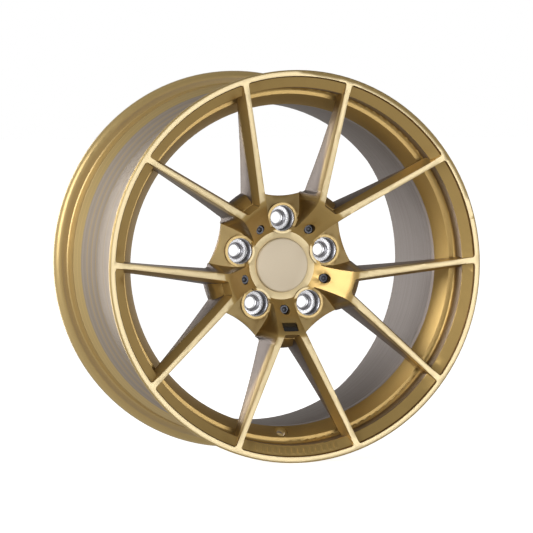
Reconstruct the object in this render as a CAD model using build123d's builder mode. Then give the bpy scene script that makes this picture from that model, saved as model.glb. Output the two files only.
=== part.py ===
import os
from math import atan2, cos, degrees, hypot, radians, sin, tan

from build123d import *

os.makedirs("parts", exist_ok=True)

# ------------------------------------------------------------ sizes (mm)
# The axle line is Y and the street side faces -Y. Depths are measured back
# from the front plane of the lip.

# rim
RIM_WIDTH = 254.0  # overall, 9 inch between the tyre beads
FLANGE_T = 12.7  # from the outer edge to the tyre bead
BEAD_R = 231.0  # 18 inch bead seat
BEAD_SLOPE = 0.9  # rise and fall of the seat about its nominal radius
FLANGE_H = 17.5
FLANGE_CURL = 9.5  # rounded inner shoulder of the flange
FLANGE_EDGE = 2.2  # rounded outer edge of the flange
HUMP_H = 1.5  # low ridge that keeps the tyre bead on its seat
FRONT_SEAT_W = 20.3
REAR_SEAT_W = 20.5
LIP_FACE_W = 7.5  # flat bright face of the lip
LIP_STEP = 3.0  # step from the lip face down to the first band
BAND_1_W = 14.0
BAND_1_DEPTH = 9.4
WALL_IN = 8.5  # the wall behind the first band steps in by this much
WALL_DEPTH = 34.0
BAND_2_W = 13.1  # second band, from its bright outer edge inward
BAND_2_DEPTH = 51.5
WELL_T = 6.6  # wall of the drop centre
REAR_SHELF = 76.0  # from the rear edge to the end of the drop centre
JOINT_DEPTH = 62.0  # butt joint between disc and barrel
JOINT_STEP = 0.8  # the barrel is bored this much wider than the disc
BARREL_WALL = 6.2  # wall of the barrel under the rear tyre seat
EDGE_R = 1.2

# hub
OFFSET = 37.0  # mounting pad ahead of the middle of the rim
HALF_W = RIM_WIDTH / 2
PAD_DEPTH = HALF_W - OFFSET
HUB_FACE_DEPTH = PAD_DEPTH - 28.5  # flat ring round the cap
HUB_FACE_W = 9.1
HUB_BORE_R = 36.3
HUB_BORE_LEN = 15.0
PCD = 120.0
LUG_COUNT = 5
LUG_R = PCD / 2
LUG_STEP = 360 / LUG_COUNT
PAD_R = LUG_R + 17.0

# lug seats
SEAT_OUTER_R = 16.6
SEAT_WALL = 0.9
SEAT_EASE = 0.6
SEAT_TOP_DEPTH = PAD_DEPTH - 28.0
SEAT_RING_DEPTH = PAD_DEPTH - 12.5
SEAT_SHOULDER_DEPTH = PAD_DEPTH - 8.0
SEAT_SHOULDER_W = 4.6  # the nose is this much smaller than the cup
LUG_BOLT_R = 7.5
SEAT_CONE_W = 3.1
SEAT_CONE_ANGLE = 60.0

# lug pockets
LUG_FLOOR_DEPTH = PAD_DEPTH - 29.5
LUG_RIM_DEPTH = PAD_DEPTH - 31.0
LUG_RIM_W = 3.7  # raised rim round each seat
LUG_EDGE_R = LUG_R + 28.6  # outer edge of the pocket floor, at its middle
LUG_EDGE_SAG = 4.1  # and how much further out it lies at the corners
LUG_EDGE_DEPTH = PAD_DEPTH - 22.0
LUG_MOUTH_W = 50.0  # width of the pocket at its hub end, in the lip plane
LUG_MOUTH_UP = 36.0
POCKET_DRAFT = 12.0

# webs and spokes
WEB_TOP_R = LUG_R + 26.5  # root of the V between two spokes
WEB_TOP_DEPTH = 20.5
WEB_TOP_ROUND = 20.0
V_FLOOR_R = WEB_TOP_R + 17.5  # where the floor of the V ends at the back
V_FLOOR_DEPTH = PAD_DEPTH - 38.0
V_BACK_R = V_FLOOR_R + 2.5
V_BACK_DEPTH = PAD_DEPTH - 23.0
V_ROOT_W = 19.0
SPOKE_ROOT_W = 10.0  # face width near the hub
SPOKE_TIP_W = 7.0  # face width at the lip
SPOKE_ROOT_OUT = 15.2  # centre line of a spoke, sideways from its web
SPOKE_ROOT_UP = WEB_TOP_R + 3.5
SPOKE_TIP_ANGLE = 19.3  # between the web and the spoke's outer end
SPOKE_BOW = 1.25  # the spoke faces stand this much proud of a cone
SPOKE_TIP_BACK = 21.5  # depth of a spoke's back where it meets the rim
SPOKE_BACK_SAG = 3.35  # the back is hollowed by this much at mid length
BEVEL_LEN = 16.0  # first, sloping step of the flank inside the V
BEVEL_ANGLE = 12.0
DRAFT = 5.0
V_DRAFT = 2.5
CORNER_R = 4.0
PASS = 5.0  # how far a cut runs past the surface it opens

# web screws
SCREW_CIRCLE_R = LUG_R - 3.5
SCREW_HEAD_R = 5.8
SCREW_HEAD_GAP = 0.45
SCREW_SEAT_DEPTH = PAD_DEPTH - 32.5
SCREW_HEAD_H = 5.0
SCREW_SHANK_R = 3.0
SCREW_SHANK_LEN = 16.0
SCREW_SOCKET_AF = 6.0

# badge
BADGE_W = 20.0
BADGE_H = 15.0
BADGE_CORNER_R = 1.5
BADGE_POCKET = 2.0
BADGE_PLATE_T = 1.4
BADGE_GAP = 0.3
BADGE_CENTRE_R = WEB_TOP_R - 9.0

# centre cap
CAP_R = 34.5
CAP_GAP = 0.4
CAP_FACE_DEPTH = PAD_DEPTH - 31.4
CAP_SEAT_DEPTH = PAD_DEPTH - 24.5
CAP_RIM_W = 1.1  # moulded edge round the disc
CAP_RIM_BACK = 0.2  # the edge lies this much behind the disc's face
CAP_DISC_T = 1.2
CAP_DISC_GAP = 0.1
CAP_LEDGE = 3.5  # ledge that the cap seats on
CAP_LEG_GAP = 0.6
CAP_LEG_T = 1.8
CAP_LEG_COUNT = 6
CAP_LEG_SLOT = 14.0
CAP_BEAD = 0.45
SPRING_WIRE_R = 0.9

# valve hole
VALVE_ANGLE = -92.0
VALVE_R = 5.65
VALVE_FACE_R = 8.2
VALVE_FACE_DEEP = 2.0
VALVE_TILT = 40.0  # between the hole and the axle

# row of plain ribs on the first band, below the badge
RIB_COUNT = 14
RIB_PITCH = 2.0  # degrees
RIB_ARC = 1.15
RIB_H = 0.6
RIB_MARGIN_IN = 2.8
RIB_MARGIN_OUT = 4.5

# ---------------------------------------------------------------- derived
FLANGE_R = BEAD_R + FLANGE_H
LIP_INNER_R = FLANGE_R - LIP_FACE_W
STEP_R = LIP_INNER_R - 0.8  # foot of the lip's inner step
BAND_1_R = LIP_INNER_R - BAND_1_W
BAND_2_OUTER_R = BAND_1_R - WALL_IN
BAND_2_INNER_R = BAND_2_OUTER_R - BAND_2_W
WELL_R = BAND_2_INNER_R + WELL_T
WELL_END = RIM_WIDTH - REAR_SHELF
HUB_FACE_R = CAP_R + CAP_GAP + HUB_FACE_W
LUG_RIM_R = SEAT_OUTER_R + LUG_RIM_W
SEAT_RING_R = LUG_BOLT_R + SEAT_CONE_W
SEAT_NOSE_R = SEAT_OUTER_R - SEAT_SHOULDER_W
SCREW_HOLE_R = SCREW_HEAD_R + SCREW_HEAD_GAP
NECK_R = CAP_R - CAP_LEDGE
CAP_LEG_R = NECK_R - CAP_LEG_GAP
CAP_LEG_END = PAD_DEPTH - HUB_BORE_LEN - 0.5
SPOKE_MID_R = (WEB_TOP_R + LIP_INNER_R) / 2
SPOKE_MID_DEPTH = WEB_TOP_DEPTH / 2 - SPOKE_BOW


def section_point(radius, depth):
    """Point of a turned section: radius along X, depth along Y."""
    return (radius, depth - HALF_W)


def plane_at(depth):
    """Plane square to the axle, seen from the street side."""
    return Plane.XZ.offset(HALF_W - depth)


def plane_back(depth):
    """The same plane seen from behind, for cuts that narrow as they go in."""
    return Plane(origin=(0, depth - HALF_W, 0), x_dir=(-1, 0, 0), z_dir=(0, 1, 0))


def turned_to(angle):
    """Turn about the axle from straight up to an angle in the wheel's face."""
    return Rot(0, 90 - angle, 0)


def lug_angle(index):
    return 90 + index * LUG_STEP


def web_angle(index):
    return -90 + index * LUG_STEP


def cone_depth(radius):
    """Depth of the web's front slope at a radius."""
    part = (radius - HUB_FACE_R) / (WEB_TOP_R - HUB_FACE_R)
    return HUB_FACE_DEPTH + part * (WEB_TOP_DEPTH - HUB_FACE_DEPTH)


# A spoke in the frame of its web: the web points up, the spoke leans right.
TIP_OUT = LIP_INNER_R * sin(radians(SPOKE_TIP_ANGLE))
TIP_UP = LIP_INNER_R * cos(radians(SPOKE_TIP_ANGLE))
SPOKE_LEN = hypot(TIP_OUT - SPOKE_ROOT_OUT, TIP_UP - SPOKE_ROOT_UP)
LEAN = (TIP_OUT - SPOKE_ROOT_OUT) / SPOKE_LEN
RISE = (TIP_UP - SPOKE_ROOT_UP) / SPOKE_LEN


def spoke_edge(side, along):
    """Face edge of the right spoke; side +1 is away from the web."""
    width = SPOKE_ROOT_W + (SPOKE_TIP_W - SPOKE_ROOT_W) * along
    out = SPOKE_ROOT_OUT + (TIP_OUT - SPOKE_ROOT_OUT) * along + side * RISE * width / 2
    up = SPOKE_ROOT_UP + (TIP_UP - SPOKE_ROOT_UP) * along - side * LEAN * width / 2
    return (out, up)


def in_lug_frame(point):
    """The same point measured from the next lug's centre line."""
    out, up = point
    radius = hypot(out, up)
    angle = LUG_STEP / 2 - degrees(atan2(out, up))
    return (radius * sin(radians(angle)), radius * cos(radians(angle)))


# ------------------------------------------------------------ turned blank
SPOKE_END_R = BAND_1_R + 1.5  # the spokes run this far into the rim
BACK_MID_DEPTH = (V_BACK_DEPTH + SPOKE_TIP_BACK) / 2 - SPOKE_BACK_SAG
FLOOR_BACK_R = LUG_EDGE_R - 2.0
FLOOR_BACK_DEPTH = LUG_EDGE_DEPTH + 6.0
with BuildPart() as blank:
    with BuildSketch(Plane.XY) as blank_section:
        with BuildLine():
            Polyline(
                section_point(0, PAD_DEPTH),
                section_point(0, HUB_FACE_DEPTH),
                section_point(HUB_FACE_R, HUB_FACE_DEPTH),
                section_point(WEB_TOP_R, WEB_TOP_DEPTH),
            )
            ThreePointArc(
                section_point(WEB_TOP_R, WEB_TOP_DEPTH),
                section_point(SPOKE_MID_R, SPOKE_MID_DEPTH),
                section_point(LIP_INNER_R, 0),
            )
            Polyline(
                section_point(LIP_INNER_R, 0),
                section_point(LIP_INNER_R + 1, 0),
                section_point(LIP_INNER_R + 1, LIP_STEP + 2),
                section_point(SPOKE_END_R, BAND_1_DEPTH + 3),
                section_point(SPOKE_END_R, SPOKE_TIP_BACK),
            )
            ThreePointArc(
                section_point(SPOKE_END_R, SPOKE_TIP_BACK),
                section_point((SPOKE_END_R + V_BACK_R) / 2, BACK_MID_DEPTH),
                section_point(V_BACK_R, V_BACK_DEPTH),
            )
            Polyline(
                section_point(V_BACK_R, V_BACK_DEPTH),
                section_point(FLOOR_BACK_R, FLOOR_BACK_DEPTH),
                section_point(PAD_R + 2, PAD_DEPTH - 3),
                section_point(PAD_R, PAD_DEPTH),
                section_point(0, PAD_DEPTH),
            )
        make_face()
        web_top = (WEB_TOP_R, WEB_TOP_DEPTH - HALF_W, 0)
        fillet(blank_section.vertices().sort_by_distance(web_top)[0], WEB_TOP_ROUND)
    revolve(axis=Axis.Y)

# ----------------------------------------------- window inside each V, cut 1
SPOKE_SLOPE = degrees(atan2(WEB_TOP_DEPTH, LIP_INNER_R - WEB_TOP_R))
V_PLANE = Plane(
    origin=(0, WEB_TOP_DEPTH - HALF_W, WEB_TOP_R),
    x_dir=(-1, 0, 0),
    z_dir=(0, cos(radians(SPOKE_SLOPE)), sin(radians(SPOKE_SLOPE))),
)
V_OUT_R = LIP_INNER_R + 12


V_LEAD = 4.0  # each cut starts this far in front of the spoke faces
V_LAP = 0.2  # and the deeper step starts this much inside the first
BEVEL_IN = BEVEL_LEN * tan(radians(BEVEL_ANGLE))


def v_outline():
    """Corners of the V window on its tilted plane, root first."""
    low = spoke_edge(-1, 0)
    high = spoke_edge(-1, 1)
    reach = (V_OUT_R - low[1]) / (high[1] - low[1])
    top_out = low[0] + (high[0] - low[0]) * reach
    top_up = (V_OUT_R - WEB_TOP_R) / cos(radians(SPOKE_SLOPE))
    root_out = V_ROOT_W / 2
    return [(-root_out, 0), (root_out, 0), (top_out, top_up), (-top_out, top_up), (-root_out, 0)]


with BuildPart() as v_cut:
    with BuildSketch(V_PLANE.offset(-V_LEAD)) as bevel_face:
        with BuildLine():
            Polyline(v_outline())
        make_face()
        offset(amount=V_LEAD * tan(radians(BEVEL_ANGLE)), kind=Kind.INTERSECTION)
        fillet(bevel_face.vertices().group_by(Axis.Y)[0], CORNER_R + 0.8)
    extrude(amount=V_LEAD + BEVEL_LEN, taper=BEVEL_ANGLE)
    with BuildSketch(V_PLANE.offset(BEVEL_LEN - V_LAP)) as deep_face:
        with BuildLine():
            Polyline(v_outline())
        make_face()
        offset(amount=-BEVEL_IN, kind=Kind.INTERSECTION)
        fillet(deep_face.vertices().group_by(Axis.Y)[0], CORNER_R + 1)
    extrude(amount=PAD_DEPTH, taper=V_DRAFT)

# ring that gives the floor of each V its second, steeper slope
with BuildPart() as v_floor:
    with BuildSketch(Plane.XY):
        with BuildLine():
            knee_r = WEB_TOP_R + BEVEL_IN + BEVEL_LEN * sin(radians(SPOKE_SLOPE)) + 0.5
            knee_depth = WEB_TOP_DEPTH + BEVEL_LEN
            Polyline(
                section_point(LUG_R, SEAT_SHOULDER_DEPTH),
                section_point(knee_r - 6, knee_depth + 2),
                section_point(knee_r, knee_depth),
                section_point(V_FLOOR_R, V_FLOOR_DEPTH),
                section_point(V_BACK_R, V_BACK_DEPTH),
                section_point(FLOOR_BACK_R, FLOOR_BACK_DEPTH),
                section_point(LUG_R, SEAT_SHOULDER_DEPTH),
            )
        make_face()
    revolve(axis=Axis.Y)

# --------------------------- window and lug pocket between two webs, cut 2
OUT_LEAD = 2.0  # both cuts start this far in front of the lip
POCKET_INSET = 0.2  # the pocket walls lie inside the window's at the face
POCKET_ROOT_UP = LUG_R + 22.0  # where the walls start to curve round the seat
POCKET_TOP_UP = LUG_EDGE_R + 34.0
DRAFT_IN = (LUG_EDGE_DEPTH + OUT_LEAD) * tan(radians(DRAFT))
WINDOW_ROOT_UP = LUG_EDGE_R + LUG_EDGE_SAG + 0.6 - DRAFT_IN  # level with the floor's corners


def flank(depth, up, draft):
    """Half-width of the opening between webs at a depth and height."""
    low = in_lug_frame(spoke_edge(1, 0))
    high = in_lug_frame(spoke_edge(1, 1))
    along = (up - low[1]) / (high[1] - low[1])
    face = low[0] + (high[0] - low[0]) * along
    return face + (WEB_TOP_DEPTH * (1 - along) - depth) * tan(radians(draft))


with BuildPart() as window_prism:
    with BuildSketch(plane_back(-OUT_LEAD)) as window_face:
        low_out = flank(-OUT_LEAD, WINDOW_ROOT_UP, DRAFT)
        top_out = flank(-OUT_LEAD, V_OUT_R, DRAFT)
        with BuildLine():
            Polyline(
                (low_out, WINDOW_ROOT_UP),
                (top_out, V_OUT_R),
                (-top_out, V_OUT_R),
                (-low_out, WINDOW_ROOT_UP),
                (low_out, WINDOW_ROOT_UP),
            )
        make_face()
        fillet(window_face.vertices().sort_by(Axis.Y)[0:2], CORNER_R + DRAFT_IN)
    extrude(amount=PAD_DEPTH + OUT_LEAD + PASS, taper=DRAFT)

with BuildPart() as pocket_prism:
    with BuildSketch(plane_back(-OUT_LEAD)):
        low = (flank(-OUT_LEAD, POCKET_ROOT_UP, POCKET_DRAFT) - POCKET_INSET, POCKET_ROOT_UP)
        top = (flank(-OUT_LEAD, POCKET_TOP_UP, POCKET_DRAFT) - POCKET_INSET, POCKET_TOP_UP)
        mouth = (LUG_MOUTH_W / 2, LUG_MOUTH_UP)
        with BuildLine():
            right = Line(top, low)
            TangentArc(low, mouth, tangent=right % 1)
            Line(mouth, (-mouth[0], mouth[1]))
            left = Line((-top[0], top[1]), (-low[0], low[1]))
            TangentArc((-low[0], low[1]), (-mouth[0], mouth[1]), tangent=left % 1)
            Line((-top[0], top[1]), top)
        make_face()
    extrude(amount=PAD_DEPTH + OUT_LEAD + PASS, taper=POCKET_DRAFT)

# solid left standing at the bottom of the pocket
with BuildPart() as lug_floor:
    with BuildSketch(Plane.XY):
        with BuildLine():
            slope_r = SEAT_OUTER_R + LUG_R - 7.6
            Polyline(
                section_point(0, LUG_FLOOR_DEPTH),
                section_point(slope_r, LUG_FLOOR_DEPTH),
                section_point(LUG_EDGE_R + 1, LUG_EDGE_DEPTH),
                section_point(LUG_EDGE_R + 9.4, LUG_EDGE_DEPTH + 2),
                section_point(LUG_EDGE_R + 9.4, PAD_DEPTH + 2 * PASS),
                section_point(0, PAD_DEPTH + 2 * PASS),
                section_point(0, LUG_FLOOR_DEPTH),
            )
        make_face()
    revolve(axis=Axis.Y)
    with BuildSketch(plane_at(PAD_DEPTH + 3 * PASS)):
        edge_up = LUG_EDGE_R + LUG_EDGE_SAG
        edge_out = flank(LUG_EDGE_DEPTH, edge_up, POCKET_DRAFT) + POCKET_INSET
        far_up = POCKET_TOP_UP + PASS
        far_out = flank(LUG_EDGE_DEPTH, far_up, POCKET_DRAFT) + POCKET_INSET
        with BuildLine():
            ThreePointArc((-edge_out, edge_up), (0, LUG_EDGE_R), (edge_out, edge_up))
            Polyline(
                (edge_out, edge_up), (far_out, far_up), (-far_out, far_up), (-edge_out, edge_up)
            )
        make_face()
    extrude(amount=PAD_DEPTH, mode=Mode.SUBTRACT)

with BuildPart() as window_cut:
    add(window_prism.part)
    add(pocket_prism.part)
    add(lug_floor.part, mode=Mode.SUBTRACT)

# ------------------------------------------------------- outer half of rim
WALL_FOOT_R = BAND_1_R - 0.5
HUMP_R = BEAD_R - BEAD_SLOPE + HUMP_H
QUARTER = 1 - cos(radians(45))  # middle of a quarter round, from its corner
CURL_MID = FLANGE_CURL * QUARTER
EDGE_MID = FLANGE_EDGE * QUARTER

with BuildPart() as outer_rim:
    with BuildSketch(Plane.XY) as outer_section:
        with BuildLine():
            Polyline(
                section_point(LIP_INNER_R, 0),
                section_point(STEP_R, LIP_STEP),
                section_point(BAND_1_R, BAND_1_DEPTH),
                section_point(WALL_FOOT_R, WALL_DEPTH),
                section_point(BAND_2_OUTER_R, WALL_DEPTH),
                section_point(BAND_2_INNER_R, BAND_2_DEPTH),
                section_point(BAND_2_INNER_R, JOINT_DEPTH),
                section_point(WELL_R, JOINT_DEPTH),
                section_point(WELL_R, WALL_DEPTH + 22),
                section_point(BEAD_R - 1.2, FLANGE_T + FRONT_SEAT_W + 6),
                section_point(HUMP_R, FLANGE_T + FRONT_SEAT_W + 3.4),
                section_point(BEAD_R - BEAD_SLOPE, FLANGE_T + FRONT_SEAT_W),
                section_point(BEAD_R + BEAD_SLOPE, FLANGE_T + 1.2),
                section_point(BEAD_R + 2.2, FLANGE_T),
                section_point(FLANGE_R - FLANGE_CURL, FLANGE_T),
            )
            ThreePointArc(
                section_point(FLANGE_R - FLANGE_CURL, FLANGE_T),
                section_point(FLANGE_R - CURL_MID, FLANGE_T - CURL_MID),
                section_point(FLANGE_R, FLANGE_T - FLANGE_CURL),
            )
            Line(
                section_point(FLANGE_R, FLANGE_T - FLANGE_CURL),
                section_point(FLANGE_R, FLANGE_EDGE),
            )
            ThreePointArc(
                section_point(FLANGE_R, FLANGE_EDGE),
                section_point(FLANGE_R - EDGE_MID, EDGE_MID),
                section_point(FLANGE_R - FLANGE_EDGE, 0),
            )
            Line(section_point(FLANGE_R - FLANGE_EDGE, 0), section_point(LIP_INNER_R, 0))
        make_face()
        rounded = [
            (STEP_R, LIP_STEP, 2.0),
            (BAND_1_R, BAND_1_DEPTH, EDGE_R),
            (WALL_FOOT_R, WALL_DEPTH, 4.5),
            (BAND_2_OUTER_R, WALL_DEPTH, EDGE_R),
            (LIP_INNER_R, 0, 0.6),
        ]
        for radius, depth, edge in rounded:
            corner = outer_section.vertices().sort_by_distance((radius, depth - HALF_W, 0))[0]
            fillet(corner, edge)
    revolve(axis=Axis.Y)

# rounded corners where the spoke faces run into the lip
with BuildSketch() as spoke_tips:
    with BuildLine():
        Polyline(
            spoke_edge(-1, 0.8),
            spoke_edge(1, 0.8),
            spoke_edge(1, 1.01),
            spoke_edge(-1, 1.01),
            spoke_edge(-1, 0.8),
        )
    make_face()
    mirror(about=Plane.YZ)

CORNER_DEEP = LIP_STEP + 4.0
with BuildPart() as lip_corners:
    with BuildSketch(plane_at(CORNER_DEEP)) as corner_face:
        Circle(LIP_INNER_R + 3)
        Circle(LIP_INNER_R, mode=Mode.SUBTRACT)
        with PolarLocations(0, LUG_COUNT, start_angle=180):
            add(spoke_tips.sketch)
        inner = corner_face.vertices().filter_by(
            lambda corner: abs(hypot(corner.X, corner.Y) - LIP_INNER_R) < 0.01
            and abs(corner.Y) > 0.01
        )
        fillet(inner, CORNER_R)
        Circle(BAND_1_R + 3, mode=Mode.SUBTRACT)
    extrude(amount=CORNER_DEEP)
    # nothing stands in front of the spoke faces
    with BuildSketch(Plane.XY):
        with BuildLine():
            Polyline(
                section_point(LIP_INNER_R, 0),
                section_point(LIP_INNER_R, -PASS),
                section_point(WEB_TOP_R, -PASS),
                section_point(WEB_TOP_R, WEB_TOP_DEPTH),
            )
            ThreePointArc(
                section_point(WEB_TOP_R, WEB_TOP_DEPTH),
                section_point(SPOKE_MID_R, SPOKE_MID_DEPTH),
                section_point(LIP_INNER_R, 0),
            )
        make_face()
    revolve(axis=Axis.Y, mode=Mode.SUBTRACT)

# one plain rib, drawn straight up from the axle and placed further down
with BuildPart() as rib:
    with BuildSketch(Plane.XY.rotated((0, -90, 0))):
        low_r = BAND_1_R + RIB_MARGIN_IN
        high_r = LIP_INNER_R - RIB_MARGIN_OUT
        slope = (BAND_1_DEPTH - LIP_STEP) / (STEP_R - BAND_1_R)
        low_depth = BAND_1_DEPTH - slope * (low_r - BAND_1_R)
        high_depth = BAND_1_DEPTH - slope * (high_r - BAND_1_R)
        with BuildLine():
            Polyline(
                section_point(low_r, low_depth + 1),
                section_point(low_r, low_depth - RIB_H),
                section_point(high_r, high_depth - RIB_H),
                section_point(high_r, high_depth + 1),
                section_point(low_r, low_depth + 1),
            )
        make_face()
    revolve(axis=Axis.Y, revolution_arc=RIB_ARC)

# ------------------------------------------------------------- forged disc
with BuildPart() as forged_disc:
    add(blank.part)
    for index in range(LUG_COUNT):
        add(turned_to(web_angle(index)) * v_cut.part, mode=Mode.SUBTRACT)
    add(v_floor.part)
    for index in range(LUG_COUNT):
        add(turned_to(lug_angle(index)) * window_cut.part, mode=Mode.SUBTRACT)
    # raised rim round each bolt hole
    with BuildSketch(plane_at(LUG_FLOOR_DEPTH + 3)):
        with PolarLocations(LUG_R, LUG_COUNT, start_angle=90):
            Circle(LUG_RIM_R)
    extrude(amount=LUG_FLOOR_DEPTH + 3 - LUG_RIM_DEPTH)
    # bolt holes, stepped for the pressed-in seats
    with BuildSketch(plane_at(SEAT_SHOULDER_DEPTH)):
        with PolarLocations(LUG_R, LUG_COUNT, start_angle=90):
            Circle(SEAT_OUTER_R)
    extrude(amount=SEAT_SHOULDER_DEPTH - LUG_RIM_DEPTH + PASS, mode=Mode.SUBTRACT)
    with BuildSketch(plane_at(PAD_DEPTH + PASS)):
        with PolarLocations(LUG_R, LUG_COUNT, start_angle=90):
            Circle(SEAT_NOSE_R)
    extrude(amount=PAD_DEPTH - SEAT_SHOULDER_DEPTH + 2 * PASS, mode=Mode.SUBTRACT)
    # hub bore, collar and cap recess
    with BuildSketch(plane_at(PAD_DEPTH + PASS)):
        Circle(HUB_BORE_R)
    extrude(amount=HUB_BORE_LEN + PASS, mode=Mode.SUBTRACT)
    with BuildSketch(plane_at(PAD_DEPTH)):
        Circle(NECK_R)
    extrude(amount=PAD_DEPTH, mode=Mode.SUBTRACT)
    with BuildSketch(plane_at(CAP_SEAT_DEPTH)):
        Circle(CAP_R + CAP_GAP)
    extrude(amount=CAP_SEAT_DEPTH, mode=Mode.SUBTRACT)
    # screw holes in the webs
    with BuildSketch(plane_at(SCREW_SEAT_DEPTH)):
        with PolarLocations(SCREW_CIRCLE_R, LUG_COUNT, start_angle=-90):
            Circle(SCREW_HOLE_R)
    extrude(amount=SCREW_SEAT_DEPTH, mode=Mode.SUBTRACT)
    with BuildSketch(plane_at(SCREW_SEAT_DEPTH + SCREW_SHANK_LEN + 2)):
        with PolarLocations(SCREW_CIRCLE_R, LUG_COUNT, start_angle=-90):
            Circle(SCREW_SHANK_R)
    extrude(amount=SCREW_SHANK_LEN + PASS, mode=Mode.SUBTRACT)
    # rim, lip corners and the row of ribs
    add(outer_rim.part)
    add(lip_corners.part)
    for index in range(RIB_COUNT):
        angle = -90 + (index - (RIB_COUNT - 1) / 2) * RIB_PITCH + RIB_ARC / 2
        add(turned_to(angle) * rib.part)

# badge pocket, square to the slope of the lowest web
SLOPE_OUT = WEB_TOP_R - HUB_FACE_R
SLOPE_IN = HUB_FACE_DEPTH - WEB_TOP_DEPTH
SLOPE_LEN = hypot(SLOPE_OUT, SLOPE_IN)
BADGE_PLANE = Plane(
    origin=(0, cone_depth(BADGE_CENTRE_R) - HALF_W, -BADGE_CENTRE_R),
    x_dir=(1, 0, 0),
    z_dir=(0, -SLOPE_OUT / SLOPE_LEN, SLOPE_IN / SLOPE_LEN),
)
with BuildPart() as badge_pocket:
    with BuildSketch(BADGE_PLANE.offset(-BADGE_POCKET)):
        RectangleRounded(BADGE_W, BADGE_H, BADGE_CORNER_R)
    extrude(amount=BADGE_POCKET + PASS)

# valve hole through the middle of the second band, with a spot face
VALVE_PLANE = Plane(
    origin=(
        0,
        (WALL_DEPTH + BAND_2_DEPTH) / 2 - HALF_W,
        (BAND_2_OUTER_R + BAND_2_INNER_R) / 2,
    ),
    x_dir=(1, 0, 0),
    z_dir=(0, cos(radians(VALVE_TILT)), sin(radians(VALVE_TILT))),
)
with BuildPart() as valve_hole:
    with BuildSketch(VALVE_PLANE.offset(-2 * PASS)):
        Circle(VALVE_R)
    extrude(amount=8 * PASS)
    with BuildSketch(VALVE_PLANE.offset(-2 * PASS)):
        Circle(VALVE_FACE_R)
    extrude(amount=2 * PASS + VALVE_FACE_DEEP)

forged_disc.part -= badge_pocket.part
forged_disc.part -= turned_to(VALVE_ANGLE) * valve_hole.part
forged_disc.part.label = "forged_disc"
export_step(forged_disc.part, "parts/forged_disc.step")

# ------------------------------------------------------------ inner barrel
BARREL_R = BAND_2_INNER_R + JOINT_STEP
REAR_BEAD = RIM_WIDTH - FLANGE_T
SEAT_BACK_R = BEAD_R - BARREL_WALL
with BuildPart() as inner_barrel:
    with BuildSketch(Plane.XY) as barrel_section:
        with BuildLine():
            Polyline(
                section_point(WELL_R, JOINT_DEPTH),
                section_point(WELL_R, WELL_END),
                section_point(BEAD_R - 1.2, REAR_BEAD - REAR_SEAT_W - 7),
                section_point(HUMP_R, REAR_BEAD - REAR_SEAT_W - 3.5),
                section_point(BEAD_R - BEAD_SLOPE, REAR_BEAD - REAR_SEAT_W),
                section_point(BEAD_R + BEAD_SLOPE, REAR_BEAD - 1.2),
                section_point(BEAD_R + 2.2, REAR_BEAD),
                section_point(FLANGE_R - FLANGE_CURL, REAR_BEAD),
            )
            ThreePointArc(
                section_point(FLANGE_R - FLANGE_CURL, REAR_BEAD),
                section_point(FLANGE_R - CURL_MID, REAR_BEAD + CURL_MID),
                section_point(FLANGE_R, REAR_BEAD + FLANGE_CURL),
            )
            Line(
                section_point(FLANGE_R, REAR_BEAD + FLANGE_CURL),
                section_point(FLANGE_R, RIM_WIDTH - FLANGE_EDGE),
            )
            ThreePointArc(
                section_point(FLANGE_R, RIM_WIDTH - FLANGE_EDGE),
                section_point(FLANGE_R - EDGE_MID, RIM_WIDTH - EDGE_MID),
                section_point(FLANGE_R - FLANGE_EDGE, RIM_WIDTH),
            )
            Polyline(
                section_point(FLANGE_R - FLANGE_EDGE, RIM_WIDTH),
                section_point(BEAD_R, RIM_WIDTH),
                section_point(BEAD_R - 5.0, RIM_WIDTH - 6),
                section_point(SEAT_BACK_R, REAR_BEAD - REAR_SEAT_W - 7),
                section_point(BARREL_R, WELL_END + 2),
                section_point(BARREL_R, JOINT_DEPTH),
                section_point(WELL_R, JOINT_DEPTH),
            )
        make_face()
        rounded = [
            (WELL_R, WELL_END, 12),
            (BARREL_R, WELL_END + 2, 14),
            (BEAD_R - 1.2, REAR_BEAD - REAR_SEAT_W - 7, 3),
            (SEAT_BACK_R, REAR_BEAD - REAR_SEAT_W - 7, 14),
            (HUMP_R, REAR_BEAD - REAR_SEAT_W - 3.5, 2),
            (BEAD_R, RIM_WIDTH, 1.5),
            (BEAD_R - 5.0, RIM_WIDTH - 6, 5),
        ]
        for radius, depth, edge in rounded:
            corner = barrel_section.vertices().sort_by_distance((radius, depth - HALF_W, 0))[0]
            fillet(corner, edge)
    revolve(axis=Axis.Y)
inner_barrel.part.label = "inner_barrel"
export_step(inner_barrel.part, "parts/inner_barrel.step")

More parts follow.
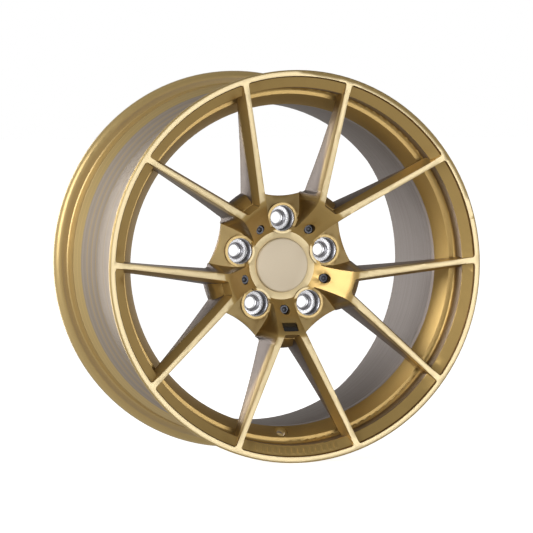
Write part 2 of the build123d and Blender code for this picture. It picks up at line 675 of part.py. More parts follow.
# --------------------------------------------------------------- lug seats
# Cup with a thin wall, a flat ring, the cone for the bolt head and a nose
# that reaches the mounting pad.
CONE_LEN = SEAT_CONE_W / tan(radians(SEAT_CONE_ANGLE / 2))
SEAT_INNER_R = SEAT_OUTER_R - SEAT_WALL
for index in range(LUG_COUNT):
    with BuildPart() as lug_seat:
        with BuildSketch(Plane.XY):
            with BuildLine():
                Polyline(
                    section_point(SEAT_OUTER_R, SEAT_TOP_DEPTH),
                    section_point(SEAT_OUTER_R, SEAT_SHOULDER_DEPTH),
                    section_point(SEAT_NOSE_R, SEAT_SHOULDER_DEPTH),
                    section_point(SEAT_NOSE_R, PAD_DEPTH),
                    section_point(LUG_BOLT_R, PAD_DEPTH),
                    section_point(LUG_BOLT_R, SEAT_RING_DEPTH + CONE_LEN),
                    section_point(SEAT_RING_R, SEAT_RING_DEPTH),
                    section_point(SEAT_INNER_R - SEAT_EASE, SEAT_RING_DEPTH),
                    section_point(SEAT_INNER_R, SEAT_RING_DEPTH - SEAT_EASE),
                    section_point(SEAT_INNER_R, SEAT_TOP_DEPTH),
                    section_point(SEAT_OUTER_R, SEAT_TOP_DEPTH),
                )
            make_face()
        revolve(axis=Axis.Y)
    lug_seat.part = turned_to(lug_angle(index)) * (Pos(0, 0, LUG_R) * lug_seat.part)
    lug_seat.part.label = f"lug_seat_{index + 1}"
    export_step(lug_seat.part, f"parts/lug_seat_{index + 1}.step")

# -------------------------------------------------------------- web screws
for index in range(LUG_COUNT):
    with BuildPart() as web_screw:
        with BuildSketch(plane_at(SCREW_SEAT_DEPTH)):
            with Locations((0, SCREW_CIRCLE_R)):
                Circle(SCREW_HEAD_R)
        extrude(amount=SCREW_HEAD_H)
        chamfer(web_screw.edges().group_by(Axis.Y)[0], 0.5)
        with BuildSketch(plane_at(SCREW_SEAT_DEPTH)):
            with Locations((0, SCREW_CIRCLE_R)):
                Circle(SCREW_SHANK_R)
        extrude(amount=-SCREW_SHANK_LEN)
        with BuildSketch(plane_at(SCREW_SEAT_DEPTH - SCREW_HEAD_H)):
            with Locations((0, SCREW_CIRCLE_R)):
                RegularPolygon(SCREW_SOCKET_AF / 2, 6, major_radius=False)
        extrude(amount=-SCREW_HEAD_H * 0.6, mode=Mode.SUBTRACT)
    web_screw.part = turned_to(web_angle(index)) * web_screw.part
    web_screw.part.label = f"web_screw_{index + 1}"
    export_step(web_screw.part, f"parts/web_screw_{index + 1}.step")

# ------------------------------------------------------------- badge plate
with BuildPart() as badge_plate:
    with BuildSketch(BADGE_PLANE.offset(-BADGE_POCKET)):
        RectangleRounded(
            BADGE_W - 2 * BADGE_GAP, BADGE_H - 2 * BADGE_GAP, BADGE_CORNER_R - BADGE_GAP
        )
    extrude(amount=BADGE_PLATE_T)
    chamfer(badge_plate.faces().sort_by(Axis.Y)[0].edges(), 0.3)
badge_plate.part.label = "badge_plate"
export_step(badge_plate.part, "parts/badge_plate.step")

# -------------------------------------------------------------- centre cap
LEG_IN_R = CAP_LEG_R - CAP_LEG_T
CAP_DISC_R = CAP_R - CAP_RIM_W
CAP_PLATE_DEPTH = CAP_FACE_DEPTH + CAP_DISC_T
with BuildPart() as cap_shell:
    with BuildSketch(Plane.XY) as shell_section:
        with BuildLine():
            Polyline(
                section_point(0, CAP_PLATE_DEPTH),
                section_point(CAP_DISC_R, CAP_PLATE_DEPTH),
                section_point(CAP_DISC_R, CAP_FACE_DEPTH + CAP_RIM_BACK),
                section_point(CAP_R - 0.6, CAP_FACE_DEPTH + CAP_RIM_BACK),
                section_point(CAP_R, CAP_FACE_DEPTH + 0.9),
                section_point(CAP_R, CAP_SEAT_DEPTH),
                section_point(CAP_LEG_R, CAP_SEAT_DEPTH),
                section_point(CAP_LEG_R, CAP_LEG_END - 3),
                section_point(CAP_LEG_R + CAP_BEAD, CAP_LEG_END - 2),
                section_point(CAP_LEG_R + CAP_BEAD, CAP_LEG_END - 1),
                section_point(CAP_LEG_R - 0.6, CAP_LEG_END),
                section_point(LEG_IN_R, CAP_LEG_END),
                section_point(LEG_IN_R, CAP_SEAT_DEPTH - 1.5),
                section_point(0, CAP_SEAT_DEPTH - 1.5),
                section_point(0, CAP_PLATE_DEPTH),
            )
        make_face()
    revolve(axis=Axis.Y)
    # slots that part the legs
    with BuildSketch(plane_at(CAP_LEG_END + 1)):
        with PolarLocations((LEG_IN_R + CAP_LEG_R) / 2, CAP_LEG_COUNT):
            Rectangle(CAP_LEG_T * 3, CAP_LEG_SLOT)
    extrude(amount=CAP_LEG_END + 1 - CAP_SEAT_DEPTH, mode=Mode.SUBTRACT)
cap_shell.part.label = "cap_shell"
export_step(cap_shell.part, "parts/cap_shell.step")

with BuildPart() as cap_disc:
    with BuildSketch(plane_at(CAP_PLATE_DEPTH)):
        Circle(CAP_DISC_R - CAP_DISC_GAP)
    extrude(amount=CAP_DISC_T)
    fillet(cap_disc.edges().group_by(Axis.Y)[0], 0.4)
cap_disc.part.label = "cap_disc"
export_step(cap_disc.part, "parts/cap_disc.step")

with BuildPart() as cap_spring_ring:
    with BuildSketch(Plane.XY):
        with Locations(section_point(LEG_IN_R - SPRING_WIRE_R - CAP_DISC_GAP, CAP_LEG_END - 3)):
            Circle(SPRING_WIRE_R)
    revolve(axis=Axis.Y)
cap_spring_ring.part.label = "cap_spring_ring"
export_step(cap_spring_ring.part, "parts/cap_spring_ring.step")
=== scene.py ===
import math

import bmesh
import bpy
from mathutils import Matrix, Vector


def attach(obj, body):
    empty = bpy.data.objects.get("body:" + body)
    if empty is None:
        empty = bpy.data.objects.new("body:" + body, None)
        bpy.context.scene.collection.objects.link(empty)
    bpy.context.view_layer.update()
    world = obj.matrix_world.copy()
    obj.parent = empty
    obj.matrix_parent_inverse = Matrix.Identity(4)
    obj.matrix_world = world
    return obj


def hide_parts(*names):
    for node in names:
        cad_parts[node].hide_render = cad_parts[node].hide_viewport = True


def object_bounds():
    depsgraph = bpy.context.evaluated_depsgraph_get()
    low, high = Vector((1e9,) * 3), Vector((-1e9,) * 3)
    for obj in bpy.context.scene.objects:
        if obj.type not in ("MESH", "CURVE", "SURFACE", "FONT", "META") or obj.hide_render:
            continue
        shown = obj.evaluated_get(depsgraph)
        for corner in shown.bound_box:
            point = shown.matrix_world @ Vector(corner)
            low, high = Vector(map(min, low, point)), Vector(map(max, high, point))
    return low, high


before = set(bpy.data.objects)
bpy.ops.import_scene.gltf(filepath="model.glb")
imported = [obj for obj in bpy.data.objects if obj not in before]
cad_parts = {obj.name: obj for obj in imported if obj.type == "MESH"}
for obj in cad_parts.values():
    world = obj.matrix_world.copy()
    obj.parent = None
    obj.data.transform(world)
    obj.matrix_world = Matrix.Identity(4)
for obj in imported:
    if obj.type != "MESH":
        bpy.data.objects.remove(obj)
cad_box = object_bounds()

# ---------------------------------------------------------------- forged disc
# Spokes, hub and the street half of the rim, forged from one aluminium blank and milled.
# Sprayed with satin gold flake from the street side over a grey base coat, so the gold
# thins out on walls that run straight back. The mounting pad behind is left bare.
FRONT = -0.127  # the front plane of the lip on the axle line
CREASE_ANGLE = 28  # edges sharper than this, in degrees, shade as creases


def node(tree, kind, inputs=None, **settings):
    made = tree.nodes.new(kind)
    for name, value in settings.items():
        setattr(made, name, value)
    for name, value in (inputs or {}).items():
        if isinstance(value, bpy.types.NodeSocket):
            tree.links.new(value, made.inputs[name])
        else:
            made.inputs[name].default_value = value
    return made


def math_node(tree, operation, first, second=0.0):
    return node(tree, "ShaderNodeMath", {0: first, 1: second}, operation=operation).outputs[0]


def times(tree, *factors):
    product = factors[0]
    for factor in factors[1:]:
        product = math_node(tree, "MULTIPLY", product, factor)
    return product


def away_from(tree, value, centre):
    """How far a value is from a centre, on either side."""
    return math_node(tree, "ABSOLUTE", math_node(tree, "SUBTRACT", value, centre))


def smooth_step(tree, value, low, high, bottom=0.0, top=1.0):
    made = node(
        tree,
        "ShaderNodeMapRange",
        {"Value": value, "From Min": low, "From Max": high, "To Min": bottom, "To Max": top},
        interpolation_type="SMOOTHSTEP",
    )
    return made.outputs["Result"]


def mix_colour(tree, mask, first, second):
    made = node(tree, "ShaderNodeMix", {"Factor": mask, "A": first, "B": second}, data_type="RGBA")
    return made.outputs["Result"]


def new_group(name, inputs, outputs):
    tree = bpy.data.node_groups.new(name, "ShaderNodeTree")
    for label, kind, value in inputs:
        made = tree.interface.new_socket(label, in_out="INPUT", socket_type=kind)
        if value is not None:
            made.default_value = value
    for label, kind in outputs:
        tree.interface.new_socket(label, in_out="OUTPUT", socket_type=kind)
    return tree, tree.nodes.new("NodeGroupInput"), tree.nodes.new("NodeGroupOutput")


def new_material(name, **shader_values):
    material = bpy.data.materials.new(name)
    material.use_nodes = True
    tree = material.node_tree
    shader = tree.nodes["Principled BSDF"]
    for label, value in shader_values.items():
        shader.inputs[label.replace("_", " ")].default_value = value
    return material, tree, shader


def flake_group():
    """Fine metal flake in paint: a tone that varies from flake to flake, and its height."""
    tree, inner, outer = new_group(
        "metal_flake",
        [("Flake Size", "NodeSocketFloat", 0.0006), ("Contrast", "NodeSocketFloat", 0.1)],
        [("Tone", "NodeSocketFloat"), ("Height", "NodeSocketFloat")],
    )
    place = node(tree, "ShaderNodeTexCoord").outputs["Object"]
    density = math_node(tree, "DIVIDE", 1.0, inner.outputs["Flake Size"])
    cells = node(tree, "ShaderNodeTexVoronoi", {"Vector": place, "Scale": density})
    cloud = node(tree, "ShaderNodeTexNoise", {"Vector": place, "Scale": 9.0, "Detail": 3.0})
    spread = math_node(tree, "SUBTRACT", cells.outputs["Distance"], 0.5)
    patch = math_node(tree, "SUBTRACT", cloud.outputs["Fac"], 0.5)
    both = math_node(tree, "ADD", spread, times(tree, patch, 1.2))
    tone = math_node(tree, "MULTIPLY_ADD", both, inner.outputs["Contrast"])
    tone.node.inputs[2].default_value = 1.0
    tree.links.new(tone, outer.inputs["Tone"])
    tree.links.new(cells.outputs["Distance"], outer.inputs["Height"])
    return tree


def turned_group():
    """Rings left by a lathe tool round the axle line, as a height and a mask."""
    tree, inner, outer = new_group(
        "turned_rings",
        [
            ("Vector", "NodeSocketVector", None),
            ("Pitch", "NodeSocketFloat", 0.001),
            ("Along Axle", "NodeSocketFloat", 0.0),
        ],
        [("Height", "NodeSocketFloat"), ("Streak", "NodeSocketFloat")],
    )
    flat = node(
        tree,
        "ShaderNodeVectorMath",
        {0: inner.outputs["Vector"], 1: (1, 0, 1)},
        operation="MULTIPLY",
    )
    radius = node(
        tree, "ShaderNodeVectorMath", {0: flat.outputs[0]}, operation="LENGTH"
    ).outputs["Value"]
    along = node(tree, "ShaderNodeSeparateXYZ", {0: inner.outputs["Vector"]}).outputs["Y"]
    chosen = node(
        tree,
        "ShaderNodeMix",
        {"Factor": inner.outputs["Along Axle"], "A": radius, "B": along},
        data_type="FLOAT",
    ).outputs["Result"]
    turns = math_node(tree, "DIVIDE", chosen, inner.outputs["Pitch"])
    wave = math_node(tree, "SINE", times(tree, turns, 2 * math.pi))
    tree.links.new(wave, outer.inputs["Height"])
    streak = node(
        tree,
        "ShaderNodeTexNoise",
        {"W": turns, "Scale": 0.37, "Detail": 2.0},
        noise_dimensions="1D",
    )
    tree.links.new(streak.outputs["Fac"], outer.inputs["Streak"])
    return tree


def wheel_place(tree):
    """Distance from the axle and distance behind the lip, in metres, with the surface's lean."""
    place = node(tree, "ShaderNodeTexCoord").outputs["Object"]
    flat = node(tree, "ShaderNodeVectorMath", {0: place, 1: (1, 0, 1)}, operation="MULTIPLY")
    radius = node(
        tree, "ShaderNodeVectorMath", {0: flat.outputs[0]}, operation="LENGTH"
    ).outputs["Value"]
    depth = math_node(
        tree, "SUBTRACT", node(tree, "ShaderNodeSeparateXYZ", {0: place}).outputs["Y"], FRONT
    )
    normal = node(tree, "ShaderNodeNewGeometry").outputs["Normal"]
    lean = node(tree, "ShaderNodeSeparateXYZ", {0: normal}).outputs["Y"]
    outward = node(
        tree, "ShaderNodeVectorMath", {0: flat.outputs[0], 1: normal}, operation="DOT_PRODUCT"
    )
    outward = math_node(tree, "DIVIDE", outward.outputs["Value"], radius)
    return place, radius, depth, times(tree, lean, -1.0), outward


metal_flake = flake_group()
turned_rings = turned_group()


def flake_node(tree, size, contrast):
    inputs = {"Flake Size": size, "Contrast": contrast}
    return node(tree, "ShaderNodeGroup", inputs, node_tree=metal_flake)


def ring_node(tree, vector, pitch, along_axle=0.0):
    inputs = {"Vector": vector, "Pitch": pitch, "Along Axle": along_axle}
    return node(tree, "ShaderNodeGroup", inputs, node_tree=turned_rings)


def feed(tree, shader, label, value):
    tree.links.new(value, shader.inputs[label])


def base_colour(tree, shader, colour, tone):
    """The shader's colour, with a fine tone over it."""
    inputs = {"Factor": 1.0, "A": colour, "B": tone}
    toned = node(tree, "ShaderNodeMix", inputs, data_type="RGBA", blend_type="MULTIPLY")
    feed(tree, shader, "Base Color", toned.outputs["Result"])


def bumped(tree, shader, height, distance, strength):
    inputs = {"Height": height, "Distance": distance, "Strength": strength}
    feed(tree, shader, "Normal", node(tree, "ShaderNodeBump", inputs).outputs["Normal"])


GOLD = (0.54, 0.365, 0.125, 1)
PAINTED_HIGHLIGHT_GOLD = (0.80, 0.655, 0.385, 1)
WALL_SHADE_GOLD = (0.20, 0.112, 0.026, 1)
OUTER_GOLD = (0.62, 0.45, 0.185, 1)
POCKET_HIGHLIGHT_GOLD = (0.68, 0.50, 0.22, 1)
LIP_STEP_SHADE_BROWN = (0.19, 0.105, 0.03, 1)
BASE_GREY = (0.23, 0.185, 0.158, 1)
BARE_ALLOY = (0.66, 0.66, 0.67, 1)
V_STEP_HIGHLIGHT_GOLD = (0.66, 0.48, 0.20, 1)
EDGE_HIGHLIGHT_GOLD = (0.70, 0.52, 0.25, 1)
HOLE_RIM_SHADE_BROWN = (0.30, 0.185, 0.055, 1)
LIP_STEP_R = 0.2403

gold_coat, tree, shader = new_material("satin_gold_flake", Metallic=0.8, Coat_Roughness=0.25)
place, radius, depth, to_street, outward = wheel_place(tree)
flakes = flake_node(tree, 0.0007, 0.12)

# painted highlight: paler gold where the surface faces the street flat on: the lip, the spoke
# faces, the ring round the cap
flat_on = smooth_step(tree, to_street, 0.955, 0.99)
near_front = smooth_step(tree, depth, 0.024, 0.020)
near_axle = smooth_step(tree, radius, 0.047, 0.045)
pale = times(tree, flat_on, math_node(tree, "MAXIMUM", near_front, near_axle))
colour = mix_colour(tree, pale, GOLD, PAINTED_HIGHLIGHT_GOLD)
# painted highlight: lighter gold on the street-facing floors of the bolt pockets
pocket = times(
    tree, smooth_step(tree, radius, 0.102, 0.099), smooth_step(tree, depth, 0.055, 0.058)
)
pocket = times(tree, pocket, smooth_step(tree, to_street, 0.85, 0.92))
colour = mix_colour(
    tree, times(tree, pocket, smooth_step(tree, radius, 0.045, 0.047)), colour, POCKET_HIGHLIGHT_GOLD
)
# painted shade: deep brown on the hub walls and beside the spokes, where the surface turns away
# from the street
wall = smooth_step(tree, to_street, 0.42, 0.18)
colour = mix_colour(tree, times(tree, wall, 0.9), colour, WALL_SHADE_GOLD)
# painted highlight: paler again on the first sloping step inside each V
first_step = times(tree, smooth_step(tree, to_street, 0.12, 0.17), wall)
first_step = times(tree, first_step, smooth_step(tree, radius, 0.098, 0.104))
colour = mix_colour(tree, times(tree, first_step, 0.8), colour, V_STEP_HIGHLIGHT_GOLD)
# full coat on the outside of the rim, and painted shade: a thin brown line in the lip's step
rim_outside = times(
    tree, smooth_step(tree, outward, 0.1, 0.4), smooth_step(tree, radius, 0.228, 0.230)
)
colour = mix_colour(tree, rim_outside, colour, OUTER_GOLD)
line = smooth_step(tree, away_from(tree, radius, LIP_STEP_R), 0.0011, 0.0006)
line = times(tree, line, smooth_step(tree, depth, 0.0001, 0.0006))
line = times(tree, line, smooth_step(tree, depth, 0.0050, 0.0040))
colour = mix_colour(tree, line, colour, LIP_STEP_SHADE_BROWN)
# base grey shows on the walls past the hub, most of all near it
past_hub = smooth_step(tree, radius, 0.093, 0.097)
fading = smooth_step(tree, radius, 0.120, 0.225, 1.0, 0.15)
far_in = smooth_step(tree, depth, 0.024, 0.034)
grey = times(tree, wall, past_hub, fading, far_in)
inside_rim = smooth_step(tree, radius, 0.2045, 0.2050)
not_inside = math_node(tree, "SUBTRACT", 1.0, inside_rim)
grey = times(tree, grey, not_inside)
# so do the wall between the two bands, the drop centre and everything behind the bands
band_wall = times(
    tree, smooth_step(tree, radius, 0.2262, 0.2268), smooth_step(tree, radius, 0.2272, 0.2268)
)
grey = math_node(tree, "MAXIMUM", grey, times(tree, band_wall, wall, 0.45))
behind = smooth_step(tree, depth, 0.0510, 0.0520)
grey = math_node(tree, "MAXIMUM", grey, times(tree, behind, inside_rim))
rearward = smooth_step(tree, to_street, -0.25, -0.45)
grey = math_node(tree, "MAXIMUM", grey, times(tree, rearward, not_inside))
colour = mix_colour(tree, grey, colour, BASE_GREY)
# mounting pad, faced in the lathe
on_pad = times(tree, smooth_step(tree, depth, 0.0896, 0.0899), rearward)
colour = mix_colour(tree, on_pad, colour, BARE_ALLOY)
rings = ring_node(tree, place, 0.0009)
base_colour(tree, shader, colour, flakes.outputs["Tone"])
rough = smooth_step(tree, flakes.outputs["Tone"], 0.9, 1.1, 0.36, 0.44)
rough = math_node(tree, "ADD", rough, times(tree, grey, 0.14))
feed(tree, shader, "Roughness", rough)
feed(tree, shader, "Coat Weight", smooth_step(tree, grey, 0.0, 1.0, 0.22, 0.05))
height = times(tree, flakes.outputs["Height"], 0.02)
height = math_node(tree, "ADD", height, times(tree, rings.outputs["Height"], on_pad, 0.05))
bumped(tree, shader, height, 0.001, 0.6)

# painted highlight: every eased edge in a brighter gold
edge_highlight_coat, tree, shader = new_material(
    "gold_edge_highlight", Metallic=0.75, Coat_Weight=0.15, Coat_Roughness=0.3
)
flakes = flake_node(tree, 0.0005, 0.10)
_, radius, depth, _, _ = wheel_place(tree)
hidden = smooth_step(tree, depth, 0.0520, 0.0600)
hidden = times(tree, hidden, smooth_step(tree, radius, 0.098, 0.104))
colour = mix_colour(tree, hidden, EDGE_HIGHLIGHT_GOLD, BASE_GREY)
# painted shade: the same thin brown line where the eased edges meet the lip's step
at_step = smooth_step(tree, away_from(tree, radius, LIP_STEP_R + 0.0002), 0.0014, 0.0009)
colour = mix_colour(
    tree, times(tree, at_step, smooth_step(tree, depth, 0.005, 0.004)), colour, LIP_STEP_SHADE_BROWN
)
# painted shade: brown in the rims round the bolt holes
hole_rim_shade = times(
    tree, smooth_step(tree, radius, 0.082, 0.080), smooth_step(tree, depth, 0.0580, 0.0585)
)
colour = mix_colour(tree, hole_rim_shade, colour, HOLE_RIM_SHADE_BROWN)
base_colour(tree, shader, colour, flakes.outputs["Tone"])
feed(tree, shader, "Roughness", smooth_step(tree, flakes.outputs["Tone"], 0.9, 1.1, 0.38, 0.46))


def finish_piece(mesh, name, materials):
    """The mesh as a smooth-shaded object, creased at sharp edges."""
    for face in mesh.faces:
        face.smooth = True
    data = bpy.data.meshes.new(name)
    mesh.to_mesh(data)
    mesh.free()
    data.set_sharp_from_angle(angle=math.radians(CREASE_ANGLE))
    for material in materials:
        data.materials.append(material)
    piece = bpy.data.objects.new(name, data)
    bpy.context.scene.collection.objects.link(piece)
    return piece


def softened(node_name, piece_name, materials, edge, least_angle):
    """A CAD node's mesh as one skin, with every edge sharper than least_angle eased."""
    mesh = bmesh.new()
    mesh.from_mesh(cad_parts[node_name].data)
    bmesh.ops.remove_doubles(mesh, verts=mesh.verts, dist=2e-6)
    bmesh.ops.dissolve_limit(
        mesh, angle_limit=math.radians(0.3), verts=mesh.verts, edges=mesh.edges
    )
    sharp = [
        e for e in mesh.edges if e.is_manifold and e.calc_face_angle() > math.radians(least_angle)
    ]
    bmesh.ops.bevel(
        mesh,
        geom=sharp,
        offset=edge,
        offset_type="OFFSET",
        segments=2,
        profile=0.5,
        affect="EDGES",
        material=len(materials) - 1,
        clamp_overlap=True,
    )
    bmesh.ops.triangulate(mesh, faces=[f for f in mesh.faces if len(f.verts) > 4])
    return finish_piece(mesh, piece_name, materials)


disc = softened("forged_disc", "disc_forging", [gold_coat, edge_highlight_coat], 0.0006, 30)
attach(disc, "wheel")
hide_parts("forged_disc")

# --------------------------------------------------------------- inner barrel
# Spun and flow-formed aluminium half of the rim, butt-joined behind the second band. Base
# grey inside and over the drop centre, where fine tool lines show, and gold again on the
# rear bead seat and flange.
BARREL_INSIDE_SHADED_GREY = (0.29, 0.250, 0.228, 1)
BARREL_OUTSIDE = (0.42, 0.355, 0.29, 1)
TOOL_LINE = (0.5, 0.36, 0.16, 1)
barrel_coat, tree, shader = new_material("barrel_grey_and_gold", Metallic=0.55, Coat_Roughness=0.3)
place, _, depth, _, outward = wheel_place(tree)
flakes = flake_node(tree, 0.0008, 0.08)
rings = ring_node(tree, place, 0.0016, 1.0)
outside = smooth_step(tree, outward, -0.2, 0.2)
seat = times(tree, smooth_step(tree, depth, 0.2030, 0.2050), outside)
seat = math_node(tree, "MAXIMUM", seat, smooth_step(tree, depth, 0.2475, 0.2490))
# the base grey is real; inside the barrel it is painted darker than outside, as painted shade
grey_with_inside_shade = mix_colour(tree, outside, BARREL_INSIDE_SHADED_GREY, BARREL_OUTSIDE)
colour = mix_colour(tree, seat, grey_with_inside_shade, OUTER_GOLD)
for line in (0.1490, 0.1790, 0.1867, 0.1940):
    ring = smooth_step(tree, away_from(tree, depth, line), 0.0014, 0.0003)
    colour = mix_colour(tree, times(tree, ring, outside, 0.55), colour, TOOL_LINE)
streaked = smooth_step(tree, rings.outputs["Streak"], 0.35, 0.65, 0.93, 1.06)
tone = times(tree, flakes.outputs["Tone"], streaked)
base_colour(tree, shader, colour, tone)
feed(tree, shader, "Roughness", smooth_step(tree, seat, 0.0, 1.0, 0.58, 0.36))
feed(tree, shader, "Coat Weight", smooth_step(tree, seat, 0.0, 1.0, 0.04, 0.25))
height = times(tree, rings.outputs["Height"], math_node(tree, "SUBTRACT", 1.0, seat))
bumped(tree, shader, height, 0.00004, 0.5)

barrel = softened("inner_barrel", "barrel_shell", [barrel_coat], 0.0005, 35)
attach(barrel, "wheel")
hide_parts("inner_barrel")

# ------------------------------------------------------------------ lug seats
# Turned steel cups pressed into the five bolt holes: a thin upright wall, a flat ring and
# the 60 degree cone for the bolt head. Zinc plated, so bright, with fine lathe rings.
ZINC = (0.74, 0.74, 0.77, 1)
CUP_WALL_PAINTED_SHADE = (0.13, 0.13, 0.15, 1)
seat_steel, tree, shader = new_material("turned_plated_steel", Metallic=1.0)
from_axis = node(tree, "ShaderNodeAttribute", attribute_name="from_bolt_axis").outputs["Fac"]
turned_on = node(tree, "ShaderNodeCombineXYZ", {0: from_axis})
rings = ring_node(tree, turned_on.outputs[0], 0.00035)
_, _, depth, to_street, _ = wheel_place(tree)
# painted shade: the upright cup wall deep in the bolt hole is darker than the rest of the zinc
down_in = smooth_step(tree, depth, 0.062, 0.066)
cup_wall_shade = times(
    tree, smooth_step(tree, to_street, 0.3, 0.1), smooth_step(tree, from_axis, 0.0140, 0.0150)
)
colour = mix_colour(tree, times(tree, cup_wall_shade, down_in), ZINC, CUP_WALL_PAINTED_SHADE)
streaked = smooth_step(tree, rings.outputs["Streak"], 0.3, 0.7, 0.88, 1.08)
base_colour(tree, shader, colour, streaked)
feed(tree, shader, "Roughness", smooth_step(tree, rings.outputs["Streak"], 0.3, 0.7, 0.24, 0.30))
bumped(tree, shader, rings.outputs["Height"], 0.00001, 0.2)

BOLT_CIRCLE_R = 0.060
seat_section = [
    (12.0, 90.0),
    (12.0, 82.0),
    (16.6, 82.0),
    (16.6, 62.25),
    (16.4, 62.0),
    (15.9, 62.0),
    (15.7, 62.25),
    (15.7, 76.9),
    (15.1, 77.5),
    (10.6, 77.5),
    (7.5, 82.9),
    (7.5, 90.0),
]


def turned_ring(section, steps):
    """A closed section, in millimetres from its own axis and behind the lip, turned full circle."""
    mesh = bmesh.new()
    points = [mesh.verts.new((r / 1000, FRONT + d / 1000, 0)) for r, d in section]
    lines = [mesh.edges.new((a, b)) for a, b in zip(points, points[1:] + points[:1])]
    bmesh.ops.spin(
        mesh,
        geom=points + lines,
        cent=(0, 0, 0),
        axis=(0, 1, 0),
        angle=2 * math.pi,
        steps=steps,
        use_merge=True,
    )
    bmesh.ops.remove_doubles(mesh, verts=mesh.verts, dist=1e-6)
    bmesh.ops.recalc_face_normals(mesh, faces=mesh.faces)
    return mesh


for count in range(5):
    mesh = turned_ring(seat_section, 96)
    corners = [e for e in mesh.edges if e.calc_face_angle() > math.radians(40)]
    bmesh.ops.bevel(
        mesh,
        geom=corners,
        offset=0.00018,
        segments=2,
        profile=0.5,
        affect="EDGES",
        material=-1,
        clamp_overlap=True,
    )
    layer = mesh.verts.layers.float.new("from_bolt_axis")
    for vert in mesh.verts:
        vert[layer] = math.hypot(vert.co.x, vert.co.z)
    bmesh.ops.translate(mesh, verts=mesh.verts, vec=(0, 0, BOLT_CIRCLE_R))
    bmesh.ops.rotate(
        mesh,
        verts=mesh.verts,
        cent=(0, 0, 0),
        matrix=Matrix.Rotation(math.radians(-72 * count), 3, "Y"),
    )
    seat = finish_piece(mesh, f"bolt_seat_{count + 1}", [seat_steel])
    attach(seat, "wheel")
    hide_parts(f"lug_seat_{count + 1}")

# ----------------------------------------------------------------- web screws
# Black socket-head screws, one in each web below the hub ring. Oxide-blacked steel,
# waxed, with every eased edge in a lighter blue-grey steel.
OXIDE_BLACK = (0.020, 0.022, 0.034, 1)
LIGHT_EDGE_STEEL = (0.16, 0.17, 0.22, 1)
screw_black, tree, shader = new_material(
    "blacked_screw_steel", Metallic=0.55, Coat_Weight=0.5, Coat_Roughness=0.12
)
flakes = flake_node(tree, 0.0004, 0.35)
base_colour(tree, shader, OXIDE_BLACK, flakes.outputs["Tone"])
feed(tree, shader, "Roughness", smooth_step(tree, flakes.outputs["Tone"], 0.8, 1.2, 0.24, 0.36))
screw_edge_tone, tree, shader = new_material("light_screw_edge", Metallic=0.8)
flakes = flake_node(tree, 0.0003, 0.3)
base_colour(tree, shader, LIGHT_EDGE_STEEL, flakes.outputs["Tone"])
feed(tree, shader, "Roughness", smooth_step(tree, flakes.outputs["Tone"], 0.8, 1.2, 0.22, 0.32))
for count in range(5):
    screw = softened(
        f"web_screw_{count + 1}", f"socket_screw_{count + 1}", [screw_black, screw_edge_tone], 0.00018, 28
    )
    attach(screw, "wheel")
    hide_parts(f"web_screw_{count + 1}")

# ---------------------------------------------------------------- badge plate
# Small blank plate of gloss black plastic, bonded into its pocket at the foot of the
# lowest web. Nothing is printed on it.
PLATE_BLACK = (0.0075, 0.0070, 0.0075, 1)
gloss_black, tree, shader = new_material("gloss_black_plate", Coat_Weight=0.6, Coat_Roughness=0.05)
flakes = flake_node(tree, 0.0012, 0.5)
base_colour(tree, shader, PLATE_BLACK, flakes.outputs["Tone"])
feed(tree, shader, "Roughness", smooth_step(tree, flakes.outputs["Tone"], 0.7, 1.3, 0.16, 0.24))
badge = softened("badge_plate", "blank_badge", [gloss_black], 0.0002, 25)
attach(badge, "wheel")
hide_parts("badge_plate")

# ----------------------------------------------------------------- centre cap
# Blank snap-in cap: a moulded shell with spring legs, and a thin disc let into its face.
# Both are nylon, sprayed a plain satin beige that sits a shade paler than the wheel.
FACE_BEIGE = (0.93, 0.80, 0.60, 1)
SHELL_BEIGE = (0.80, 0.67, 0.46, 1)
beige_face, tree, shader = new_material("satin_beige_disc", Coat_Weight=0.08, Coat_Roughness=0.3)
flakes = flake_node(tree, 0.0006, 0.05)
base_colour(tree, shader, FACE_BEIGE, flakes.outputs["Tone"])
feed(tree, shader, "Roughness", smooth_step(tree, flakes.outputs["Tone"], 0.9, 1.1, 0.50, 0.58))
bumped(tree, shader, flakes.outputs["Height"], 0.00003, 0.4)

beige_shell, tree, shader = new_material("satin_beige_shell", Coat_Roughness=0.3)
flakes = flake_node(tree, 0.0009, 0.07)
base_colour(tree, shader, SHELL_BEIGE, flakes.outputs["Tone"])
feed(tree, shader, "Roughness", smooth_step(tree, flakes.outputs["Tone"], 0.9, 1.1, 0.46, 0.56))

cap = softened("cap_shell", "cap_moulding", [beige_shell], 0.0003, 30)
face = softened("cap_disc", "cap_face_disc", [beige_face], 0.0001, 60)
for piece, replaced, slot in ((cap, "cap_shell", "cap_paint"), (face, "cap_disc", "cap_face")):
    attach(piece, "cap")
    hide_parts(replaced)

# ------------------------------------------------------------ cap spring ring
# Ring of drawn spring wire clipped inside the cap's legs to press them outward.
WIRE_STEEL = (0.52, 0.52, 0.55, 1)
spring_wire, tree, shader = new_material("drawn_spring_wire", Metallic=1.0)
flakes = flake_node(tree, 0.0005, 0.3)
base_colour(tree, shader, WIRE_STEEL, flakes.outputs["Tone"])
feed(tree, shader, "Roughness", smooth_step(tree, flakes.outputs["Tone"], 0.8, 1.2, 0.26, 0.38))
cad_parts["cap_spring_ring"].data.materials[0] = spring_wire

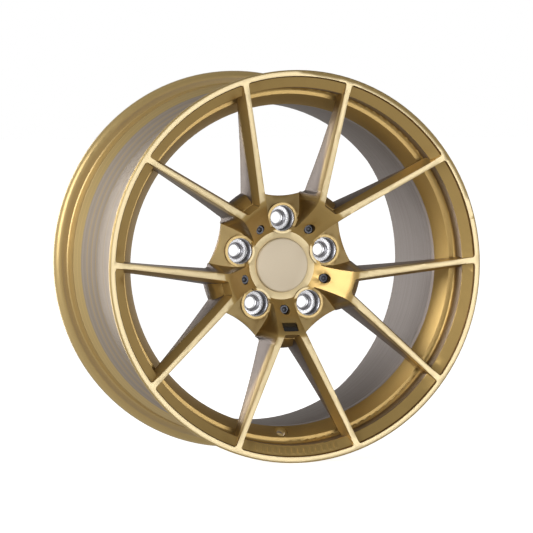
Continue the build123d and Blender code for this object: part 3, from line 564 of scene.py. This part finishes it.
# ----------------------------------------------------- studio floor and light
# Plain pale floor with the wheel standing on its two flanges, soft panels at the front,
# left and rear left, a dim ceiling, and the camera level with the wheel's upper half.
pale_floor, tree, shader = new_material("pale_floor", Roughness=0.9)
shader.inputs["Base Color"].default_value = (0.86, 0.86, 0.86, 1)
shader.inputs["Specular IOR Level"].default_value = 0.1
shader.inputs["Emission Color"].default_value = (1, 1, 1, 1)
shader.inputs["Emission Strength"].default_value = 0.85
mesh = bmesh.new()
bmesh.ops.create_grid(mesh, x_segments=1, y_segments=1, size=30)
bmesh.ops.translate(mesh, verts=mesh.verts, vec=(0, 0, cad_box[0].z - 0.0005))
floor = finish_piece(mesh, "floor", [pale_floor])
floor.visible_glossy = False
floor.visible_diffuse = False

world = bpy.data.worlds.new("studio")
bpy.context.scene.world = world
world.use_nodes = True
tree = world.node_tree
tree.nodes.clear()
direction = node(tree, "ShaderNodeTexCoord").outputs["Generated"]
height = node(tree, "ShaderNodeSeparateXYZ", {0: direction}).outputs["Z"]
ceiling = smooth_step(tree, height, 0.15, 0.75, 0.58, 0.22)
ground = smooth_step(tree, height, -0.1, -0.6, 0.0, -0.12)
glow = node(
    tree,
    "ShaderNodeBackground",
    {"Color": (1.0, 0.985, 0.96, 1), "Strength": math_node(tree, "ADD", ceiling, ground)},
)
white = node(tree, "ShaderNodeBackground", {"Color": (1, 1, 1, 1), "Strength": 1.0})
seen = node(tree, "ShaderNodeLightPath").outputs["Is Camera Ray"]
shown = node(tree, "ShaderNodeMixShader", {0: seen, 1: glow.outputs[0], 2: white.outputs[0]})
node(tree, "ShaderNodeOutputWorld", {"Surface": shown.outputs[0]})


def soft_panel(name, position, width, tall, power):
    light = bpy.data.lights.new(name, "AREA")
    light.shape = "RECTANGLE"
    light.size, light.size_y = width, tall
    light.energy = power
    panel = bpy.data.objects.new(name, light)
    bpy.context.scene.collection.objects.link(panel)
    panel.location = position
    panel.rotation_euler = (-Vector(position)).to_track_quat("-Z", "Y").to_euler()
    panel.visible_camera = False


soft_panel("panel_front", (0.72, -2.38, -0.10), 0.95, 0.8, 8.0)
soft_panel("panel_left", (-1.75, -0.75, 0.70), 1.0, 1.4, 22)
soft_panel("panel_rear_left", (-0.95, 1.9, 0.1), 0.6, 1.8, 17)

camera_data = bpy.data.cameras.new("camera")
camera_data.sensor_width = 36
camera_data.lens = 270.36
camera_data.shift_x = -0.0592
camera_data.shift_y = 0.00095
camera = bpy.data.objects.new("camera", camera_data)
bpy.context.scene.collection.objects.link(camera)
camera.location = (-1.6958, -4.8815, 0.2264)
camera.rotation_euler = (math.radians(87.432), 0, math.radians(-19.63))
bpy.context.scene.camera = camera
bpy.context.scene.view_settings.view_transform = "Standard"
